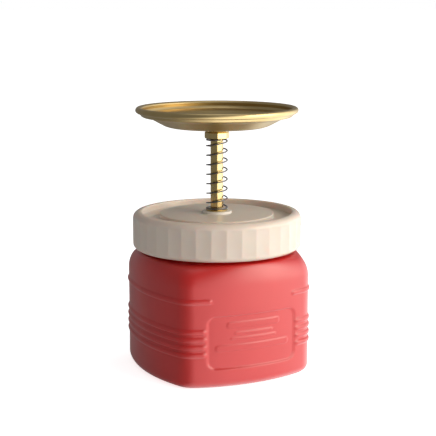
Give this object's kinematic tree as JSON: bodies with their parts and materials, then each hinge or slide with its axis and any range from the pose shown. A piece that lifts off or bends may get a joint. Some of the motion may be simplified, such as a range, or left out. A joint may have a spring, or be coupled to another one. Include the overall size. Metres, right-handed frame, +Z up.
{
  "type": "plunger can",
  "caption": "Square moulded plunger can with a screw cap, a sprung hand pump and a round dispensing pan that wets cloths with solvent.",
  "frame": {"origin": "centre of the can's base, on the surface that it stands on", "axes": "+Z up along the pump's axis, -Y towards the front with the sunk panel, +X to the right of the front"},
  "size_m": [0.1218, 0.1218, 0.19],
  "materials": {
    "can_polyethylene": "soft satin moulding",
    "cap_polyethylene": "satin, slightly translucent moulding",
    "black_rubber": "matt",
    "white_plastic": "satin",
    "pump_plastic": "satin",
    "stainless_steel": "ground",
    "spring_steel": "drawn wire",
    "cup_leather": "oiled",
    "turned_brass": "turned",
    "spun_brass": "spun and lightly polished"
  },
  "bodies": {
    "can": {"can_body": "can_polyethylene"},
    "gasket_ring": {"cap_gasket": "black_rubber"},
    "cap_and_pump": {"screw_cap": "cap_polyethylene", "bush_washer": "white_plastic", "guide_bush": "turned_brass", "barrel_gasket": "black_rubber", "pump_barrel": "pump_plastic", "foot_gasket": "black_rubber", "foot_valve_body": "pump_plastic", "foot_valve_pin": "stainless_steel", "dip_tube": "white_plastic", "suction_strainer": "stainless_steel", "return_spring": "spring_steel"},
    "plunger": {"pump_stem": "turned_brass", "piston_plate": "turned_brass", "piston_cup": "cup_leather", "piston_nut": "turned_brass", "stem_ball_pin": "stainless_steel", "pan_nut": "turned_brass", "pan_collar": "turned_brass", "dispensing_pan": "spun_brass", "screen_spacer": "turned_brass", "perforated_screen": "spun_brass", "outlet_nut": "turned_brass"},
    "foot_ball": {"foot_valve_ball": "stainless_steel"},
    "stem_ball": {"stem_ball": "stainless_steel"}
  },
  "joints": [
    {"name": "cap_lift", "type": "slide", "parent": "can", "child": "gasket_ring", "axis": [0, 0, 1], "range_m": [0, 0.0075]},
    {"name": "cap_turn", "type": "hinge", "parent": "gasket_ring", "child": "cap_and_pump", "pos_m": [0, 0, 0.1], "axis": [0, 0, 1], "range_deg": [0, 450]},
    {"name": "plunger_press", "type": "slide", "parent": "cap_and_pump", "child": "plunger", "axis": [0, 0, 1], "range_m": [-0.03, 0], "stiffness_N_per_m": 400, "springref_m": 0.02, "deforming": ["return_spring"]},
    {"name": "foot_ball_lift", "type": "slide", "parent": "cap_and_pump", "child": "foot_ball", "axis": [0, 0, 1], "range_m": [0, 0.0015]},
    {"name": "stem_ball_lift", "type": "slide", "parent": "plunger", "child": "stem_ball", "axis": [0, 0, 1], "range_m": [0, 0.0015]}
  ],
  "couplings": [
    {"joint": "cap_lift", "follows": "cap_turn", "m_per_rad": 0.00095493}
  ]
}
